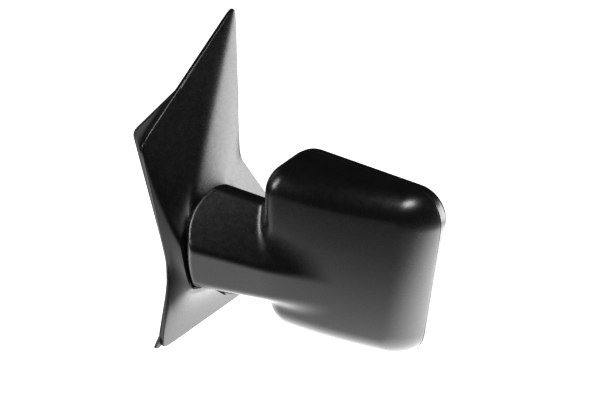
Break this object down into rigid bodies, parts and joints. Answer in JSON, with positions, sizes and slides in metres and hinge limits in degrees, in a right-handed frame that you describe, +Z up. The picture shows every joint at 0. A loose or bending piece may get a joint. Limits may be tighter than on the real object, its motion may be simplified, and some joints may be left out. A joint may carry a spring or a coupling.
{
  "type": "car side mirror",
  "caption": "Folding door mirror: a tapered head with adjustable convex glass on a thick arm, pivoting off a triangular sail cover.",
  "frame": {"origin": "on the door plane, midway between the two lower bolt holes", "axes": "+X outboard, away from the door; +Y rearward, the way the glass looks; +Z up"},
  "size_m": [0.3303, 0.2152, 0.3579],
  "materials": {
    "shell_plastic": "satin, finely grained",
    "frame_plastic": "matt",
    "white_plastic": "natural acetal",
    "rubber": "matt",
    "steel": "zinc plated",
    "bronze": "sintered",
    "cast_metal": "as cast",
    "heater": "printed foil",
    "mirror": "silvered convex glass"
  },
  "bodies": {
    "door_base": {"base_frame": "frame_plastic", "sail_cover": "shell_plastic", "door_gasket": "rubber", "cover_clips": "white_plastic", "locating_pegs": "steel", "cable_grommet": "rubber", "pivot_post": "steel", "lower_detent_ring": "steel", "retaining_ring": "steel"},
    "arm_and_head": {"upper_detent_ring": "steel", "detent_balls": "steel", "pivot_bushes": "bronze", "fold_spring": "steel", "spring_washer": "steel", "carrier": "cast_metal", "head_shell": "shell_plastic", "arm_rear_cover": "shell_plastic", "bezel": "shell_plastic", "shell_screws": "steel", "arm_cover_screws": "steel", "actuator_case": "frame_plastic", "actuator_cover": "frame_plastic", "actuator_screws": "steel", "motor_tilt": "steel", "motor_pan": "steel"},
    "gimbal": {"gimbal_cross": "white_plastic"},
    "glass": {"glass_holder": "frame_plastic", "heater_pad": "heater", "mirror_glass": "mirror"},
    "worm_tilt": {"worm_tilt": "white_plastic"},
    "worm_pan": {"worm_pan": "white_plastic"},
    "gear_nut_tilt": {"gear_nut_tilt": "white_plastic"},
    "gear_nut_pan": {"gear_nut_pan": "white_plastic"},
    "plunger_tilt": {"plunger_tilt": "white_plastic"},
    "plunger_pan": {"plunger_pan": "white_plastic"}
  },
  "joints": [
    {"name": "fold", "type": "hinge", "parent": "door_base", "child": "arm_and_head", "pos_m": [0.062, -0.006, 0.05], "axis": [0, 0, 1], "range_deg": [-60, 50]},
    {"name": "glass_tilt", "type": "hinge", "parent": "arm_and_head", "child": "gimbal", "pos_m": [0.17925, 0.05913, 0.077], "axis": [0.9781, 0.2079, 0], "range_deg": [-7, 7]},
    {"name": "glass_pan", "type": "hinge", "parent": "gimbal", "child": "glass", "pos_m": [0.17925, 0.05913, 0.077], "axis": [0, 0, 1], "range_deg": [-7, 7]},
    {"name": "plunger_tilt_slide", "type": "slide", "parent": "arm_and_head", "child": "plunger_tilt", "axis": [-0.2079, 0.9781, 0], "range_m": [-0.0036, 0.0036]},
    {"name": "plunger_pan_slide", "type": "slide", "parent": "arm_and_head", "child": "plunger_pan", "axis": [-0.2079, 0.9781, 0], "range_m": [-0.0036, 0.0036]},
    {"name": "gear_nut_tilt_spin", "type": "hinge", "parent": "arm_and_head", "child": "gear_nut_tilt", "pos_m": [0.18351, 0.03908, 0.104], "axis": [-0.2079, 0.9781, 0], "range_deg": [-105, 105]},
    {"name": "gear_nut_pan_spin", "type": "hinge", "parent": "arm_and_head", "child": "gear_nut_pan", "pos_m": [0.20992, 0.04469, 0.077], "axis": [-0.2079, 0.9781, 0], "range_deg": [-105, 105]},
    {"name": "worm_tilt_spin", "type": "hinge", "parent": "arm_and_head", "child": "worm_tilt", "pos_m": [0.18351, 0.03908, 0.092], "axis": [0.9781, 0.2079, 0], "range_deg": [-1040, 1040]},
    {"name": "worm_pan_spin", "type": "hinge", "parent": "arm_and_head", "child": "worm_pan", "pos_m": [0.19818, 0.0422, 0.077], "axis": [0, 0, 1], "range_deg": [-1040, 1040]}
  ],
  "couplings": [
    {"joint": "plunger_tilt_slide", "follows": "glass_tilt", "m_per_rad": -0.027},
    {"joint": "plunger_pan_slide", "follows": "glass_pan", "m_per_rad": 0.027},
    {"joint": "gear_nut_tilt_spin", "follows": "glass_tilt", "ratio": -14.137},
    {"joint": "gear_nut_pan_spin", "follows": "glass_pan", "ratio": 14.137},
    {"joint": "worm_tilt_spin", "follows": "glass_tilt", "ratio": 141.37},
    {"joint": "worm_pan_spin", "follows": "glass_pan", "ratio": -141.37}
  ]
}
